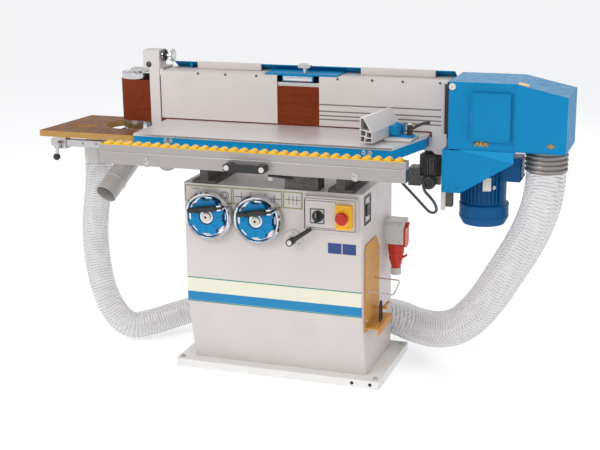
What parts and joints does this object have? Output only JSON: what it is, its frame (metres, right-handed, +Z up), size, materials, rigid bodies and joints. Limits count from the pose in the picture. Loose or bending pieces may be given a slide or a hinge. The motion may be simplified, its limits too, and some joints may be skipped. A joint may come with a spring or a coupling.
{
  "type": "drum sander",
  "caption": "Long-belt edge sander with exposed end drum, tilting belt unit, rising table, roller rail, wooden end table and dust hoses.",
  "frame": {"origin": "on the floor, under the middle of the cabinet, on the plinth's lower face", "axes": "+X along the belt to the operator's right, +Y away from the operator, +Z up"},
  "size_m": [1.867, 0.994, 1.147],
  "materials": {
    "white_paint": "satin, fine orange peel",
    "plinth_paint": "satin",
    "blue_paint": "semi-gloss",
    "motor_paint": "semi-gloss",
    "yellow_paint": "satin",
    "ground_steel": "ground",
    "bright_steel": "bright",
    "chrome": "polished",
    "aluminium": "anodised",
    "cast_grey": "raw casting",
    "gear_paint": "dark grey casting paint",
    "galvanised": "galvanised sheet",
    "abrasive": "coated abrasive",
    "board": "laminated plywood",
    "hose_clear": "clear spiral hose",
    "roller_yellow": "moulded",
    "blue_plastic": "moulded",
    "black_plastic": "moulded",
    "grey_plastic": "moulded",
    "yellow_plastic": "moulded",
    "red_plastic": "moulded",
    "cable_jacket": "smooth"
  },
  "bodies": {
    "base": {"base_plinth": "plinth_paint", "cabinet_shell": "white_paint", "trunnion_cradles": "cast_grey", "screw_gearboxes": "cast_grey", "control_plate": "white_paint", "stop_block": "yellow_plastic", "clamp_disc": "white_paint", "hose_bracket": "yellow_paint", "inlet_box": "grey_plastic", "inlet_socket": "red_plastic", "extraction_plenum": "galvanised", "left_hose": "hose_clear", "right_hose": "hose_clear", "gear_motor_cable": "cable_jacket"},
    "lift_wheel": {"lift_wheel": "chrome", "lift_wheel_disc": "blue_plastic"},
    "lift_grip": {"lift_grip": "black_plastic"},
    "tilt_wheel": {"tilt_wheel": "chrome", "tilt_wheel_disc": "blue_plastic"},
    "tilt_grip": {"tilt_grip": "black_plastic"},
    "clamp_lever": {"clamp_lever": "black_plastic"},
    "switch_knob": {"switch_knob": "black_plastic"},
    "stop_button": {"stop_button": "red_plastic"},
    "inlet_lid": {"inlet_lid": "red_plastic"},
    "lift_screw": {"lift_screw": "bright_steel"},
    "table": {"table_plate": "ground_steel", "table_apron": "blue_paint", "table_carrier": "cast_grey", "mitre_base": "aluminium"},
    "rail": {"roller_rail": "aluminium", "rail_rollers": "roller_yellow", "rail_bars": "bright_steel", "rail_handle": "black_plastic"},
    "mitre": {"mitre_profile": "aluminium", "mitre_clamp": "blue_plastic"},
    "mitre_lever": {"mitre_lever": "black_plastic"},
    "unit": {"unit_beam": "white_paint", "fence_left": "white_paint", "fence_right": "white_paint", "sanding_belt": "abrasive", "platen": "bright_steel", "belt_post": "white_paint", "rear_cover": "blue_paint", "drive_housing": "blue_paint", "lower_shroud": "blue_paint", "right_collar": "bright_steel", "main_motor": "motor_paint", "gear_motor": "gear_paint", "drum_hood": "galvanised", "dust_pipe": "galvanised", "end_table_bar": "bright_steel"},
    "platen_knob": {"platen_knob": "bright_steel"},
    "tracking_knob": {"tracking_knob": "chrome"},
    "housing_door": {"housing_door": "blue_paint"},
    "drive_drum": {"drive_drum": "aluminium"},
    "idler_carriage": {"idler_bracket": "bright_steel"},
    "idler_drum": {"idler_drum": "chrome"},
    "end_table": {"end_table": "board", "end_table_shoe": "bright_steel"},
    "end_table_lever": {"end_table_lever": "bright_steel"}
  },
  "joints": [
    {"name": "lift_wheel_spin", "type": "hinge", "parent": "base", "child": "lift_wheel", "pos_m": [-0.227, -0.19, 0.591], "axis": [0, 1, 0], "range_deg": [0, 8990]},
    {"name": "lift_grip_fold", "type": "hinge", "parent": "lift_wheel", "child": "lift_grip", "pos_m": [-0.169, -0.246, 0.632], "axis": [-0.1564, 0, 0.9877], "range_deg": [0, 90]},
    {"name": "tilt_wheel_spin", "type": "hinge", "parent": "base", "child": "tilt_wheel", "pos_m": [-0.043, -0.19, 0.59], "axis": [0, 1, 0], "range_deg": [0, 10790]},
    {"name": "tilt_grip_fold", "type": "hinge", "parent": "tilt_wheel", "child": "tilt_grip", "pos_m": [0.015, -0.246, 0.631], "axis": [-0.1564, 0, 0.9877], "range_deg": [0, 90]},
    {"name": "clamp_lever_turn", "type": "hinge", "parent": "base", "child": "clamp_lever", "pos_m": [0.082, -0.21, 0.525], "axis": [0, 1, 0], "range_deg": [-40, 70]},
    {"name": "switch_turn", "type": "hinge", "parent": "base", "child": "switch_knob", "pos_m": [0.177, -0.21, 0.62], "axis": [0, 1, 0], "range_deg": [0, 120]},
    {"name": "stop_button_press", "type": "slide", "parent": "base", "child": "stop_button", "axis": [0, 1, 0], "range_m": [0, 0.005], "stiffness_N_per_m": 800},
    {"name": "inlet_lid_hinge", "type": "hinge", "parent": "base", "child": "inlet_lid", "pos_m": [0.408, 0.118, 0.525], "axis": [0, -1, 0], "range_deg": [0, 100]},
    {"name": "lift_screw_spin", "type": "hinge", "parent": "base", "child": "lift_screw", "pos_m": [0.11, -0.15, 0.3], "axis": [0, 0, 1], "range_deg": [0, 9000]},
    {"name": "table_lift", "type": "slide", "parent": "base", "child": "table", "axis": [0, 0, 1], "range_m": [0, 0.1]},
    {"name": "rail_pull", "type": "slide", "parent": "table", "child": "rail", "axis": [0, -1, 0], "range_m": [0, 0.14]},
    {"name": "mitre_swivel", "type": "hinge", "parent": "table", "child": "mitre", "pos_m": [0.492, -0.205, 0.9], "axis": [0, 0, 1], "range_deg": [-35, 35]},
    {"name": "mitre_lever_turn", "type": "hinge", "parent": "mitre", "child": "mitre_lever", "pos_m": [0.492, -0.205, 0.9], "axis": [0, 0, 1], "range_deg": [-60, 60]},
    {"name": "unit_tilt", "type": "hinge", "parent": "base", "child": "unit", "pos_m": [0, -0.069, 0.884], "axis": [-1, 0, 0], "range_deg": [0, 45], "deforming": ["left_hose", "right_hose", "gear_motor_cable"]},
    {"name": "platen_knob_turn", "type": "hinge", "parent": "unit", "child": "platen_knob", "pos_m": [0.08, -0.048, 1.1], "axis": [0, 0, 1], "range_deg": [-90, 90]},
    {"name": "tracking_knob_turn", "type": "hinge", "parent": "unit", "child": "tracking_knob", "pos_m": [-0.45, -0.045, 1.125], "axis": [1, 0, 0], "range_deg": [-720, 720]},
    {"name": "housing_door_hinge", "type": "hinge", "parent": "unit", "child": "housing_door", "pos_m": [0.683, -0.166, 0.98], "axis": [0, 0, -1], "range_deg": [0, 110]},
    {"name": "drive_drum_spin", "type": "hinge", "parent": "unit", "child": "drive_drum", "pos_m": [0.705, -0.009, 0.96], "axis": [0, 0, 1], "continuous": true},
    {"name": "belt_tension", "type": "slide", "parent": "unit", "child": "idler_carriage", "axis": [1, 0, 0], "range_m": [0, 0.008]},
    {"name": "idler_drum_spin", "type": "hinge", "parent": "idler_carriage", "child": "idler_drum", "pos_m": [-0.575, -0.009, 0.96], "axis": [0, 0, 1], "continuous": true},
    {"name": "end_table_slide", "type": "slide", "parent": "unit", "child": "end_table", "axis": [1, 0, 0], "range_m": [-0.01, 0.045]},
    {"name": "end_table_lever_turn", "type": "hinge", "parent": "end_table", "child": "end_table_lever", "pos_m": [-0.837, -0.15, 0.803], "axis": [0, 1, 0], "range_deg": [-60, 60]}
  ],
  "couplings": [
    {"joint": "table_lift", "follows": "lift_wheel_spin", "m_per_rad": 0.00063662},
    {"joint": "lift_screw_spin", "follows": "lift_wheel_spin", "ratio": 1},
    {"joint": "unit_tilt", "follows": "tilt_wheel_spin", "ratio": 0.0041667},
    {"joint": "idler_drum_spin", "follows": "drive_drum_spin", "ratio": 1}
  ]
}
